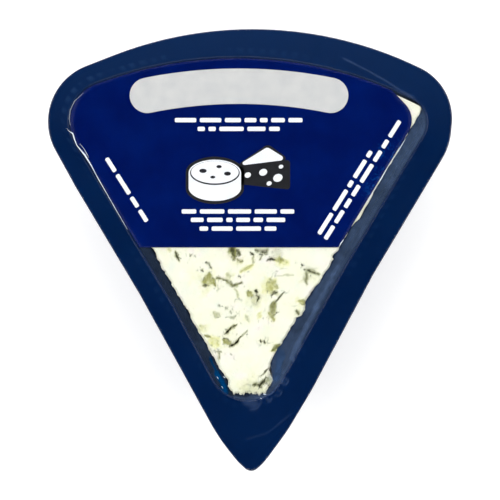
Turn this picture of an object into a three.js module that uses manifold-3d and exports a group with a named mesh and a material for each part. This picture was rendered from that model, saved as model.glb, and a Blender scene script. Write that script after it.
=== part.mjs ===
// A wedge of blue cheese, one sixth of a wheel, sold in a sealed tray.
// Four pieces: the thermoformed tray, the cheese, the printed label lying on it, and the lid film.
// Millimetres, +Z up. The tray stands on z = 0, the tip of the wedge points to -Y and its rind to +Y.
import * as THREE from 'three';
import { mergeVertices } from 'three/addons/utils/BufferGeometryUtils.js';
import Module from 'manifold-3d';

const wasm = await Module();
wasm.setup();

// ---- Driving dimensions ----
const TRAY_HEIGHT = 28; // floor to the top of the flange
const PLASTIC = 0.7; // thickness of the tray's sheet
const DRAFT = THREE.MathUtils.degToRad(3); // lean of the cavity walls
const FLOOR_RADIUS = 3; // inside, between wall and floor
const LIP_RADIUS = 0.8; // rounded edge of the cavity's mouth
const FOOT_WIDTH = 5; // flat ring the tray stands on
const PANEL_RISE = 1; // the floor's middle is raised inside that ring
const RIM_DROP = 0.5; // the flange's cut edge is bent down a little

const FILM = 0.25;
const FILM_SETBACK = 0.2; // the film stops this far inside the flange's edge
const LABEL = 0.25;
const LABEL_GAP = 0.3; // label to cavity wall, and label to film

const WHEEL_RADIUS = 98.6;
const WHEEL_CENTRE = new THREE.Vector2(-1.7, -45.5);
const HALF_ANGLE = THREE.MathUtils.degToRad(30); // a sixth of a wheel
const TIP = { left: -5.6, right: 5.2, y: -40.4, radius: 2 }; // the crumbled tip is blunt
const RIGHT_CORNER = 3.5; // radii of the two corners at the rind
const LEFT_CORNER = 9;
const EDGE_ROUND = 2; // rounding of the cheese's bottom edge
const TOP_ROUND = 1; // rounding of its top edge
const CHEESE_TAPER = 1.3; // the foot of the cheese is this much further in

const ARC_STEPS = 8; // points on each rounded corner
const ROUND_STEPS = 3; // points on each rounded edge

// Outline corners, counter-clockwise: [x, y, fillet radius].
const FLANGE_CORNERS = [
  [57.1, 29.5, 18],
  [58.8, 47.1, 16],
  [5.6, 73, 109],
  [-65, 45.5, 17],
  [-49.7, 17.8, 40],
  [-31.2, -12.9, 190],
  [-8.9, -53.8, 60],
  [-3.4, -60.6, 20],
  [0.4, -64.1, 2.6],
  [4.2, -60.6, 20],
  [10.8, -51.6, 60],
  [18.2, -39.2, 77],
  [35, -6.7, 190],
];
const MOUTH_CORNERS = [
  [53.5, 39.6, 7.3],
  [4.5, 63.9, 112.5],
  [-57.4, 43, 11.5],
  [-22.2, -14, 200],
  [-0.9, -55.3, 11],
  [26.7, -4.7, 200],
];
// The label runs out past the mouth at the rind and on the left, where it is trimmed to fit.
const LABEL_CORNERS = [
  [25.4, 0.7, 0.5],
  [47.9, 38, 6.5],
  [38, 48.4, 0],
  [38, 64, 0],
  [-60, 64, 0],
  [-60, 0.7, 0],
];
const CENTRE = new THREE.Vector2(0, 8); // every outline is star-shaped about this point

// ---- Heights that follow ----
const CAVITY_FLOOR = PLASTIC;
const PANEL_TOP = PLASTIC + PANEL_RISE;
const LABEL_TOP = TRAY_HEIGHT - LABEL_GAP;
const CHEESE_TOP = LABEL_TOP - LABEL;

// ---- Outlines ----

// Moves every side of a convex polygon inward by a distance. Fillet radii shrink with it.
function inset(corners, distance) {
  const sides = corners.map(([x, y], i) => {
    const [nextX, nextY] = corners[(i + 1) % corners.length];
    const direction = new THREE.Vector2(nextX - x, nextY - y).normalize();
    const inward = new THREE.Vector2(-direction.y, direction.x);
    return { start: new THREE.Vector2(x, y).addScaledVector(inward, distance), direction };
  });
  return corners.map(([, , radius], i) => {
    const before = sides[(i + sides.length - 1) % sides.length];
    const after = sides[i];
    const between = after.start.clone().sub(before.start);
    const along = between.cross(after.direction) / before.direction.cross(after.direction);
    const corner = before.start.clone().addScaledVector(before.direction, along);
    return [corner.x, corner.y, Math.max(radius - distance, 0)];
  });
}

// Turns corners with fillet radii into a list of points.
function filleted(corners) {
  const points = [];
  corners.forEach(([x, y, radius], i) => {
    const corner = new THREE.Vector2(x, y);
    const [lastX, lastY] = corners[(i + corners.length - 1) % corners.length];
    const [nextX, nextY] = corners[(i + 1) % corners.length];
    const back = new THREE.Vector2(lastX, lastY).sub(corner).normalize();
    const ahead = new THREE.Vector2(nextX, nextY).sub(corner).normalize();
    if (radius === 0) {
      points.push(corner);
      return;
    }
    const halfOpening = Math.acos(back.dot(ahead)) / 2;
    const middle = back.clone().add(ahead).setLength(radius / Math.sin(halfOpening)).add(corner);
    const halfTurn = Math.PI / 2 - halfOpening;
    const outward = corner.clone().sub(middle).setLength(radius);
    for (let step = 0; step <= ARC_STEPS; step += 1) {
      const turn = halfTurn * ((2 * step) / ARC_STEPS - 1);
      points.push(outward.clone().rotateAround(new THREE.Vector2(), turn).add(middle));
    }
  });
  return points;
}

// The bearings, from CENTRE, of the points of several outlines, sorted and without near-doubles.
function bearings(...outlines) {
  const smallest = THREE.MathUtils.degToRad(0.4);
  const all = outlines.flat().map((point) => point.clone().sub(CENTRE).angle());
  all.sort((a, b) => a - b);
  return all.reduce((kept, angle) => {
    if (kept.length === 0 || angle - kept.at(-1) > smallest) kept.push(angle);
    return kept;
  }, []);
}

// The points where rays from CENTRE at the given bearings leave an outline.
function cast(outline, angles) {
  return angles.map((angle) => {
    const ray = new THREE.Vector2(Math.cos(angle), Math.sin(angle));
    let reach = 0;
    outline.forEach((start, i) => {
      const edge = outline[(i + 1) % outline.length].clone().sub(start);
      const toStart = start.clone().sub(CENTRE);
      const turn = ray.cross(edge);
      if (turn <= 0) return;
      const along = toStart.cross(ray) / turn;
      if (along < -1e-9 || along > 1 + 1e-9) return;
      reach = Math.max(reach, toStart.cross(edge) / turn);
    });
    return ray.multiplyScalar(reach).add(CENTRE);
  });
}

// ---- Solids ----

// Skins a closed solid over rings of equal length, from the middle of the first to that of the last.
function loft(rings) {
  const count = rings[0].points.length;
  const middle = (z) => [CENTRE.x, CENTRE.y, z];
  const positions = rings.flatMap(({ points, z }) => points.flatMap((p) => [p.x, p.y, z]));
  positions.push(...middle(rings[0].z), ...middle(rings.at(-1).z));
  const first = rings.length * count;
  const indices = [];
  for (let i = 0; i < count; i += 1) {
    const next = (i + 1) % count;
    for (let ring = 0; ring + 1 < rings.length; ring += 1) {
      const low = ring * count;
      const high = low + count;
      indices.push(low + i, low + next, high + next, low + i, high + next, high + i);
    }
    const last = (rings.length - 1) * count;
    indices.push(first, next, i, first + 1, last + i, last + next);
  }
  const geometry = new THREE.BufferGeometry();
  geometry.setAttribute('position', new THREE.Float32BufferAttribute(positions, 3));
  geometry.setIndex(indices);
  return geometry;
}

// Raises an outline from one height to another.
function plate(outline, low, high) {
  const geometry = new THREE.ExtrudeGeometry(new THREE.Shape(outline), {
    depth: high - low,
    bevelEnabled: false,
  });
  return geometry.translate(0, 0, low);
}

function toManifold(geometry) {
  const bare = geometry.clone();
  bare.deleteAttribute('normal');
  bare.deleteAttribute('uv');
  const merged = mergeVertices(bare);
  return new wasm.Manifold(new wasm.Mesh({
    numProp: 3,
    vertProperties: new Float32Array(merged.attributes.position.array),
    triVerts: new Uint32Array(merged.index.array),
  }));
}

function fromManifold(solid) {
  const mesh = solid.getMesh();
  const geometry = new THREE.BufferGeometry();
  geometry.setAttribute('position', new THREE.BufferAttribute(mesh.vertProperties, 3));
  geometry.setIndex(new THREE.BufferAttribute(mesh.triVerts, 1));
  return geometry;
}

// Steps of a quarter turn, as [run, rise] for a radius: it starts level and ends upright.
function quarterRound(radius) {
  return Array.from({ length: ROUND_STEPS + 1 }, (_, step) => {
    const turn = (step / ROUND_STEPS) * (Math.PI / 2);
    return [radius * Math.sin(turn), radius * (1 - Math.cos(turn))];
  });
}

// ---- Tray: one formed sheet, outside from the floor up, over the flange and down inside ----
function trayGeometry() {
  const flange = filleted(FLANGE_CORNERS);
  const angles = bearings(flange, filleted(MOUTH_CORNERS));
  const around = (corners, distance, z) => ({
    points: cast(filleted(inset(corners, distance)), angles),
    z,
  });
  const wall = (z, outward) => (TRAY_HEIGHT - z) * Math.tan(DRAFT) - outward;
  const footOuter = wall(CAVITY_FLOOR, 0) + FLOOR_RADIUS;
  const footInner = footOuter + FOOT_WIDTH;
  const outerFloorRadius = FLOOR_RADIUS + PLASTIC;
  const flangeUnderside = TRAY_HEIGHT - PLASTIC;

  const outside = [
    around(MOUTH_CORNERS, footInner + PANEL_RISE, PANEL_RISE),
    around(MOUTH_CORNERS, footInner, 0),
    ...quarterRound(outerFloorRadius).map(([run, rise]) => (
      around(MOUTH_CORNERS, wall(rise, PLASTIC) + outerFloorRadius - run, rise)
    )),
    around(MOUTH_CORNERS, wall(flangeUnderside - LIP_RADIUS, PLASTIC), flangeUnderside - LIP_RADIUS),
    around(MOUTH_CORNERS, -PLASTIC - LIP_RADIUS, flangeUnderside),
    around(FLANGE_CORNERS, 1, flangeUnderside),
    around(FLANGE_CORNERS, 0, flangeUnderside - RIM_DROP),
  ];
  const top = [
    around(FLANGE_CORNERS, 0, TRAY_HEIGHT - RIM_DROP),
    around(FLANGE_CORNERS, 0.7, TRAY_HEIGHT),
  ];
  const inside = [
    ...quarterRound(LIP_RADIUS).map(([run, rise]) => (
      around(MOUTH_CORNERS, wall(TRAY_HEIGHT - rise, 0) + run - LIP_RADIUS, TRAY_HEIGHT - rise)
    )),
    ...quarterRound(FLOOR_RADIUS).reverse().map(([run, rise]) => (
      around(MOUTH_CORNERS, wall(CAVITY_FLOOR + rise, 0) + FLOOR_RADIUS - run, CAVITY_FLOOR + rise)
    )),
    around(MOUTH_CORNERS, footInner, CAVITY_FLOOR),
    around(MOUTH_CORNERS, footInner + PANEL_RISE, PANEL_TOP),
  ];
  return loft([...outside, ...top, ...inside]);
}

// ---- Cheese: a sector with a blunt tip and soft edges ----
function cheeseCorners() {
  const along = (angle, radius) => [
    WHEEL_CENTRE.x + radius * Math.sin(angle),
    WHEEL_CENTRE.y + radius * Math.cos(angle),
  ];
  const corners = [
    [TIP.left, TIP.y, TIP.radius],
    [TIP.right, TIP.y, TIP.radius],
  ];
  const rindSteps = 12;
  for (let step = 0; step <= rindSteps; step += 1) {
    const angle = HALF_ANGLE * (1 - (2 * step) / rindSteps);
    corners.push([...along(angle, WHEEL_RADIUS), 0]);
  }
  corners[2][2] = RIGHT_CORNER;
  corners.at(-1)[2] = LEFT_CORNER;
  return corners;
}

function cheeseGeometry() {
  const corners = cheeseCorners();
  const angles = bearings(filleted(corners));
  const height = CHEESE_TOP - PANEL_TOP;
  const around = (rise, run) => {
    const taper = CHEESE_TAPER * (1 - rise / height);
    return { points: cast(filleted(inset(corners, taper + run)), angles), z: PANEL_TOP + rise };
  };
  return loft([
    ...quarterRound(EDGE_ROUND).map(([run, rise]) => around(rise, EDGE_ROUND - run)),
    ...quarterRound(TOP_ROUND).reverse().map(([run, rise]) => around(height - rise, TOP_ROUND - run)),
  ]);
}

// ---- Label: a printed card lying on the cheese, trimmed to the cavity ----
function labelGeometry() {
  const blank = plate(filleted(LABEL_CORNERS), CHEESE_TOP, LABEL_TOP);
  const cavity = plate(filleted(inset(MOUTH_CORNERS, LABEL_GAP)), CHEESE_TOP - 1, LABEL_TOP + 1);
  return fromManifold(toManifold(blank).intersect(toManifold(cavity)));
}

// ---- Lid film: lies flat on the flange and closes the cavity ----
function filmGeometry() {
  const rimWidth = 0.7;
  const outline = filleted(inset(FLANGE_CORNERS, rimWidth + FILM_SETBACK));
  return plate(outline, TRAY_HEIGHT, TRAY_HEIGHT + FILM);
}

function piece(name, geometry, looks) {
  const mesh = new THREE.Mesh(geometry, new THREE.MeshStandardMaterial(looks));
  mesh.name = name;
  return mesh;
}

const wedge = new THREE.Group();
wedge.add(
  piece('tray', trayGeometry(), { color: 0x05224a, roughness: 0.3, metalness: 0 }),
  piece('cheese_wedge', cheeseGeometry(), { color: 0xf4f0de, roughness: 0.6, metalness: 0 }),
  piece('label', labelGeometry(), { color: 0x00185a, roughness: 0.4, metalness: 0 }),
  piece('lid_film', filmGeometry(), {
    color: 0xe8f0f5, roughness: 0.1, metalness: 0, transparent: true, opacity: 0.2,
  }),
);

// The origin is under the middle of the tray's box.
const middle = new THREE.Box3().setFromObject(wedge).getCenter(new THREE.Vector3());
wedge.position.set(-middle.x, -middle.y, 0);

export default wedge;
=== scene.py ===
"""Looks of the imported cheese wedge: tray, cheese, printed card and lid film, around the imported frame.

Lengths are millimetres in the part's own frame until mesh_piece() turns them into metres.
"""
import math

import bpy
import numpy as np
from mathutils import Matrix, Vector


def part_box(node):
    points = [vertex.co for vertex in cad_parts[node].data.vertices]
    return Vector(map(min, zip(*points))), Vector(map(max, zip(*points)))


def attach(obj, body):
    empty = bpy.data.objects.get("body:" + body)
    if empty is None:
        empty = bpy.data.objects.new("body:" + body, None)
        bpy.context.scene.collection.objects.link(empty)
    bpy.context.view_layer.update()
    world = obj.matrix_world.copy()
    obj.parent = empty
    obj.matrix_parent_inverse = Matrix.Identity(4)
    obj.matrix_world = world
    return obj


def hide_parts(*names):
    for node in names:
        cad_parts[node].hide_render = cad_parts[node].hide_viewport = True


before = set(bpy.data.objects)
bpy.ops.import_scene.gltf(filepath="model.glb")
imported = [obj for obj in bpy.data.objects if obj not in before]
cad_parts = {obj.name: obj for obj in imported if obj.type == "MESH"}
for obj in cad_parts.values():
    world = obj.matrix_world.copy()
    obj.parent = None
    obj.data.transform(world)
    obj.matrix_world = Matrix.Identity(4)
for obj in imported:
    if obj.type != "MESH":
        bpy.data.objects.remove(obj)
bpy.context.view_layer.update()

MM = 0.001
SPOKES = 540  # points round the tray and the film
BEARING_STEPS = 2880  # an eighth of a degree each, where an outline is looked up by bearing

# ---- Heights, from the frame ----
FLANGE_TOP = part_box("tray")[1][2] / MM
CARD_LOW, CARD_TOP = (corner[2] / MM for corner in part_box("label"))
CHEESE_FLOOR, CHEESE_TOP = (corner[2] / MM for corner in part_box("cheese_wedge"))
FILM_THICKNESS = 0.06

# ---- Outline corners, counter-clockwise: x, y, fillet radius ----
FLANGE = [
    (57.1, 29.5, 18), (58.8, 47.1, 16), (5.6, 73, 109), (-65, 45.5, 17), (-49.7, 17.8, 40),
    (-31.2, -12.9, 190), (-8.9, -53.8, 60), (-3.4, -60.6, 20), (0.4, -64.1, 2.6), (4.2, -60.6, 20),
    (10.8, -51.6, 60), (18.2, -39.2, 77), (35, -6.7, 190),
]
MOUTH = [
    (53.5, 39.6, 7.3), (4.5, 63.9, 112.5), (-57.4, 43, 11.5),
    (-22.2, -14, 200), (-0.9, -55.3, 11), (26.7, -4.7, 200),
]
CARD = [(25.4, 0.7, 0.5), (47.9, 38, 6.5), (38, 48.4, 0), (38, 64, 0), (-60, 64, 0), (-60, 0.7, 0)]
CENTRE = np.array([0.0, 8.0])  # the tray's outlines are star-shaped about this point
CARD_CENTRE = np.array([0.0, 25.0])  # and the card's about this one
CARD_GAP = 0.08  # from the card's edge to the mouth

PLASTIC = 0.7
DRAFT = math.tan(math.radians(3))
FLOOR_RADIUS = 3
LIP_RADIUS = 0.8
FOOT_WIDTH = 5
PANEL_RISE = 1


# ---- Outlines ----


def unit(vectors):
    return vectors / np.linalg.norm(vectors, axis=-1, keepdims=True)


def travel(points):
    """The distance travelled along a line, at each of its points."""
    steps = np.linalg.norm(np.diff(points, axis=0), axis=1)
    return np.concatenate([[0], np.cumsum(steps)])


def inset(corners, distance):
    """Moves every side of a polygon inward, and shrinks the fillets with it."""
    points = np.array([corner[:2] for corner in corners], float)
    directions = unit(np.roll(points, -1, axis=0) - points)
    starts = points + distance * np.stack([-directions[:, 1], directions[:, 0]], axis=1)
    moved = []
    for i, corner in enumerate(corners):
        before, after = directions[i - 1], directions[i]
        gap = starts[i] - starts[i - 1]
        turn = before[0] * after[1] - before[1] * after[0]
        along = (gap[0] * after[1] - gap[1] * after[0]) / turn
        x, y = starts[i - 1] + before * along
        moved.append((x, y, max(corner[2] - distance, 0)))
    return moved


def turned(points, turn):
    """Points turned about the origin."""
    cosine, sine = math.cos(turn), math.sin(turn)
    return points @ np.array([[cosine, sine], [-sine, cosine]])


def filleted(corners, steps=24):
    """The outline's points, with its corners rounded."""
    points = []
    for i, (x, y, radius) in enumerate(corners):
        corner = np.array([x, y], float)
        if radius == 0:
            points.append(corner)
            continue
        back = unit(np.array(corners[i - 1][:2]) - corner)
        ahead = unit(np.array(corners[(i + 1) % len(corners)][:2]) - corner)
        half_opening = math.acos(float(back @ ahead)) / 2
        middle = corner + unit(back + ahead) * radius / math.sin(half_opening)
        outward = unit(corner - middle) * radius
        for turn in np.linspace(half_opening - math.pi / 2, math.pi / 2 - half_opening, steps + 1):
            points.append(middle + turned(outward, turn))
    return np.array(points)


def evenly(outline, count):
    """The outline again, as evenly spaced points."""
    closed = np.vstack([outline, outline[:1]])
    travelled = travel(closed)
    at = np.linspace(0, travelled[-1], count, endpoint=False)
    return np.stack([np.interp(at, travelled, closed[:, k]) for k in (0, 1)], axis=1)


def cast(outline, angles, centre=CENTRE):
    """Where rays from a centre at these angles leave the outline."""
    rays = np.stack([np.cos(angles), np.sin(angles)], axis=1)
    starts = outline - centre
    edges = np.roll(starts, -1, axis=0) - starts
    turn = rays[:, None, 0] * edges[None, :, 1] - rays[:, None, 1] * edges[None, :, 0]
    turn = np.where(np.abs(turn) < 1e-12, 1e-12, turn)
    along = (starts[None, :, 0] * rays[:, None, 1] - starts[None, :, 1] * rays[:, None, 0]) / turn
    reach = (starts[None, :, 0] * edges[None, :, 1] - starts[None, :, 1] * edges[None, :, 0]) / turn
    hits = (along >= -1e-9) & (along <= 1 + 1e-9) & (reach > 0)
    return centre + rays * np.where(hits, reach, 0).max(axis=1)[:, None]


def bearings(outline, count, centre=CENTRE):
    """Directions from a centre to evenly spaced points of the outline."""
    offsets = evenly(outline, count) - centre
    return np.sort(np.arctan2(offsets[:, 1], offsets[:, 0]))


flange_line = filleted(FLANGE)
mouth_line = filleted(MOUTH)
ANGLES = bearings(flange_line, SPOKES)
SHIFT = -(flange_line.min(axis=0) + flange_line.max(axis=0)) / 2  # the frame's origin is mid-flange


def at_height(outline, z):
    return np.column_stack([outline, np.full(len(outline), float(z))])


def ring(corners, distance, z):
    """One loop of the tray or film, as SPOKES points."""
    return at_height(cast(filleted(inset(corners, distance)), ANGLES), z)


def refine(rings, longest):
    """Adds rings in between, so that none is further than this from the next."""
    finer = [rings[0]]
    for low, high in zip(rings, rings[1:]):
        steps = max(1, math.ceil(np.linalg.norm(high - low, axis=1).max() / longest))
        finer.extend(low + (high - low) * step / steps for step in range(1, steps + 1))
    return finer


def to_middle(loop, spacing, centre=CENTRE):
    """Rings from a loop inward, ending close to its centre."""
    middle = np.array([*centre, loop[:, 2].mean()])
    reach = np.linalg.norm(loop[:, :2] - centre, axis=1).max()
    steps = math.ceil(reach / spacing)
    return [middle + (loop - middle) * (1 - step / steps) for step in range(1, steps)]


def quarter_round(radius):
    """Points of a quarter of a circle, from its lowest point, as run and rise."""
    turns = np.linspace(0, math.pi / 2, 9)
    return [(radius * math.sin(turn), radius * (1 - math.cos(turn))) for turn in turns]


# ---- Noise and distances ----


def lattice(i, j, seed):
    mixed = (i * 73856093) ^ (j * 19349663) ^ (seed * 83492791)
    mixed = (mixed ^ (mixed >> 13)) * 1274126177 & 0x7FFFFFFF
    mixed = (mixed ^ (mixed >> 15)) * 69069 & 0x7FFFFFFF
    return mixed / 0x3FFFFFFF - 1.0


def noise(x, y, seed):
    """Smooth random values between -1 and 1, one lattice cell per unit."""
    i, j = np.floor(x).astype(np.int64), np.floor(y).astype(np.int64)
    u, v = x - i, y - j
    u, v = u * u * (3 - 2 * u), v * v * (3 - 2 * v)
    low = lattice(i, j, seed) * (1 - u) + lattice(i + 1, j, seed) * u
    high = lattice(i, j + 1, seed) * (1 - u) + lattice(i + 1, j + 1, seed) * u
    return low * (1 - v) + high * v


def rough(x, y, size, seed, octaves=3):
    """Layered noise whose largest lumps are about this size."""
    total = np.zeros_like(x)
    for octave in range(octaves):
        scale = 2**octave / size
        total += noise(x * scale, y * scale, seed + octave) / 2**octave
    return total / 1.75


def smooth(value, low, high):
    """0 below low, 1 above high, and an even slope between."""
    t = np.clip((value - low) / (high - low), 0, 1)
    return t * t * (3 - 2 * t)


def distance_along(path, x, y):
    """Distance to a line through the path's points, and how far along it the nearest point is, 0 to 1."""
    path = np.array(path, float)
    if len(path) == 1:
        return np.hypot(x - path[0, 0], y - path[0, 1]), np.full(x.shape, 0.5)
    lengths = np.linalg.norm(np.diff(path, axis=0), axis=1)
    nearest, share, travelled = np.full(x.shape, 1e9), np.zeros(x.shape), 0.0
    for (x0, y0), (x1, y1), length in zip(path, path[1:], lengths):
        t = np.clip(((x - x0) * (x1 - x0) + (y - y0) * (y1 - y0)) / length**2, 0, 1)
        away = np.hypot(x - x0 - t * (x1 - x0), y - y0 - t * (y1 - y0))
        share = np.where(away < nearest, (travelled + t * length) / lengths.sum(), share)
        nearest = np.minimum(nearest, away)
        travelled += length
    return nearest, share


def inside_by(outline, x, y, centre=CENTRE):
    """How far along its spoke each point is inside a star-shaped outline. Negative outside."""
    angles = np.arctan2(y - centre[1], x - centre[0])
    table = np.linspace(-math.pi, math.pi, BEARING_STEPS + 1)
    hits = cast(outline, table, centre) - centre
    return np.interp(angles, table, np.hypot(*hits.T)) - np.hypot(x - centre[0], y - centre[1])


# ---- Meshes ----


def ring_faces(ring_count, count, first=0):
    """Quads that join rings of equal length."""
    faces = []
    for row in range(ring_count - 1):
        low = first + row * count
        for i in range(count):
            after = (i + 1) % count
            faces.append((low + i, low + after, low + count + after, low + count + i))
    return faces


def skin(rings):
    """A closed surface over rings, capped at the middle of the first and of the last."""
    count = len(rings[0])
    vertices = np.vstack([*rings, rings[0].mean(axis=0)[None], rings[-1].mean(axis=0)[None]])
    faces = ring_faces(len(rings), count)
    low, high = len(vertices) - 2, len(vertices) - 1
    last = (len(rings) - 1) * count
    for i in range(count):
        after = (i + 1) % count
        faces.append((low, after, i))
        faces.append((high, last + i, last + after))
    return vertices, faces


def mesh_piece(name, vertices, faces, material, replaced=None, shade_smooth=True):
    """A piece of the object: it rides on the frame and takes the given material."""
    mesh = bpy.data.meshes.new(name)
    placed = (np.array(vertices, float) + (*SHIFT, 0)) * MM
    mesh.from_pydata(placed.tolist(), [], faces)
    mesh.polygons.foreach_set("use_smooth", [shade_smooth] * len(mesh.polygons))
    mesh.materials.append(material)
    mesh.validate()
    mesh.update()
    piece = bpy.data.objects.new(name, mesh)
    bpy.context.collection.objects.link(piece)
    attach(piece, "root")
    if replaced:
        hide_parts(replaced)
    return piece


def paint(piece, name, channels):
    """Stores up to four values for each vertex, for the material to read."""
    count = len(piece.data.vertices)
    values = np.zeros((count, 4))
    for k, channel in enumerate(channels):
        values[:, k] = channel
    attribute = piece.data.attributes.new(name, "FLOAT_COLOR", "POINT")
    attribute.data.foreach_set("color", values.ravel())


def plate(outline, low, high):
    """A flat solid of a star-shaped or convex outline, as vertices and faces."""
    count = len(outline)
    vertices = np.vstack([at_height(outline, low), at_height(outline, high)])
    faces = ring_faces(2, count)
    faces.append(tuple(range(count))[::-1])
    faces.append(tuple(range(count, 2 * count)))
    return vertices, faces


def joined(solids):
    """Several solids as one list of vertices and one of faces."""
    vertices, faces, first = [], [], 0
    for points, loops in solids:
        vertices.append(points)
        faces.extend(tuple(first + i for i in loop) for loop in loops)
        first += len(points)
    return np.vstack(vertices), faces


# ---- Materials ----


def linear(red, green, blue):
    """A colour given as screen values from 0 to 255, as the linear values shaders use."""
    parts = [value / 255 for value in (red, green, blue)]
    return (*[p / 12.92 if p <= 0.04045 else ((p + 0.055) / 1.055) ** 2.4 for p in parts], 1)


class Shader:
    """A material under construction."""

    def __init__(self, name):
        self.material = bpy.data.materials.new(name)
        self.material.use_nodes = True
        self.tree = self.material.node_tree
        self.tree.nodes.clear()
        self.output = self.tree.nodes.new("ShaderNodeOutputMaterial")
        self.place = self.add("TexCoord").outputs["Object"]

    def add(self, kind, settings=None, **inputs):
        node = self.tree.nodes.new("ShaderNode" + kind)
        for key, value in (settings or {}).items():
            setattr(node, key, value)
        for key, value in inputs.items():
            self.feed(node.inputs[key.replace("_", " ")], value)
        return node

    def feed(self, socket, value):
        if isinstance(value, bpy.types.NodeSocket):
            self.tree.links.new(value, socket)
        else:
            socket.default_value = value

    def fill(self, node, *values):
        """Feeds a node's inputs in their order."""
        for socket, value in zip(node.inputs, values):
            self.feed(socket, value)
        return node.outputs[0]

    def noise(self, size, detail=3, roughness=0.5, distortion=0):
        """Noise whose lumps are about this many millimetres."""
        node = self.add("TexNoise", Vector=self.place, Scale=1 / (size * MM), Detail=detail,
                        Roughness=roughness, Distortion=distortion)
        return node.outputs["Fac"]

    def between(self, value, low, high, start=0.0, end=1.0):
        return self.fill(self.add("MapRange", {"clamp": True}), value, low, high, start, end)

    def calc(self, first, second, operation="ADD"):
        node = self.add("Math", {"operation": operation, "use_clamp": operation == "MULTIPLY"})
        return self.fill(node, first, second)

    def mix(self, factor, first, second):
        return self.add("MixRGB", Fac=factor, Color1=first, Color2=second).outputs[0]

    def clouds(self, size, detail, first, second, high=0.7):
        """A colour that wanders between two."""
        share = self.between(self.noise(size, detail), 0.35, high)
        return self.mix(share, linear(*first), linear(*second))

    def channels(self, name):
        attribute = self.add("Attribute", {"attribute_name": name})
        split = self.add("SeparateColor", Color=attribute.outputs["Color"])
        return [*split.outputs, attribute.outputs["Alpha"]]

    def bump(self, height, distance):
        node = self.add("Bump", Height=height, Distance=distance * MM, Strength=1.0)
        return node.outputs["Normal"]

    def finish(self, surface):
        self.tree.links.new(surface, self.output.inputs["Surface"])
        return self.material


def tray_material():
    shader = Shader("tray_plastic")
    seal = shader.channels("seal")[0]
    colour = shader.clouds(22, 3, (1, 26, 65), (3, 31, 72))
    across = shader.add("SeparateXYZ", Vector=shader.place)
    # painted reflection: the flange made lighter towards its far end, where it would catch the far lamp
    painted_far_sheen = shader.between(across.outputs["Y"], 28 * MM, 62 * MM, 0, 0.75)
    colour = shader.mix(painted_far_sheen, colour, linear(20, 44, 83))
    colour = shader.mix(seal, colour, linear(44, 74, 116))
    body = shader.add(
        "BsdfPrincipled", Base_Color=colour,
        Roughness=shader.between(shader.noise(5, detail=5), 0.3, 0.7, 0.12, 0.22),
        Normal=shader.bump(shader.noise(2.4, detail=2), 0.008), Specular_IOR_Level=0.2,
    )
    return shader.finish(body.outputs[0])


def cheese_material():
    shader = Shader("blue_cheese")
    olive, grey, yellow, dark_mould_and_shade = shader.channels("mould_and_shade")
    pale, hollow = shader.channels("paste")[:2]
    grain = shader.noise(0.5, detail=4, roughness=0.65)
    colour = shader.clouds(6, 4, (247, 246, 226), (246, 245, 216))
    broken = shader.between(grain, 0.3, 0.65, 0.55, 1.25)
    layers = [
        (shader.between(shader.noise(3.2, detail=3), 0.5, 0.72, 0, 0.5), (238, 243, 224)),
        (shader.between(shader.noise(4.6, detail=2), 0.52, 0.7, 0, 0.7), (249, 240, 232)),
        (shader.between(grain, 0.55, 0.8, 0, 0.3), (238, 237, 216)),
        (pale, (226, 232, 222)),
        (shader.calc(yellow, broken, "MULTIPLY"), (232, 231, 162)),
        (shader.calc(grey, broken, "MULTIPLY"), (134, 142, 112)),
        (shader.calc(olive, broken, "MULTIPLY"), (170, 171, 98)),
        # dark mould, with painted shade in the hollows' depths
        (shader.between(dark_mould_and_shade, 0.1, 0.85), (34, 40, 20)),
    ]
    for strength, over in layers:
        colour = shader.mix(strength, colour, linear(*over))
    relief = shader.calc(shader.noise(1.1, detail=5, roughness=0.6), grain)
    body = shader.add(
        "BsdfPrincipled", Base_Color=colour,
        Roughness=shader.between(hollow, 0, 1, 0.42, 0.8),
        Normal=shader.bump(relief, 0.12),
        Subsurface_Weight=0.06, Subsurface_Radius=(0.0005, 0.0005, 0.0005),
    )
    return shader.finish(body.outputs[0])


def card_material():
    shader = Shader("card_print")
    wet = shader.channels("wet")[0]
    colour = shader.clouds(9, 4, (0, 17, 82), (0, 23, 92))
    blotch = shader.between(shader.noise(1.6, detail=4, distortion=1.2), 0.5, 0.68)
    colour = shader.mix(shader.calc(wet, blotch, "MULTIPLY"), colour, linear(3, 58, 128))
    body = shader.add(
        "BsdfPrincipled", Base_Color=colour,
        Roughness=shader.between(shader.noise(3), 0.3, 0.7, 0.16, 0.2),
        Normal=shader.bump(shader.noise(1.5, detail=2), 0.003), Specular_IOR_Level=0.1,
    )
    return shader.finish(body.outputs[0])


def ink_and_glint_material(name, first, second, roughness):
    """Printed ink, a little uneven; also the white of the painted glints on the film's ridges."""
    shader = Shader(name)
    colour = shader.clouds(4, 5, first, second, 0.68)
    grain = shader.noise(0.12, detail=2)
    body = shader.add(
        "BsdfPrincipled", Base_Color=colour,
        Roughness=shader.between(grain, 0.3, 0.7, roughness - 0.06, roughness + 0.06),
        Normal=shader.bump(grain, 0.003),
    )
    return shader.finish(body.outputs[0])


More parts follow.
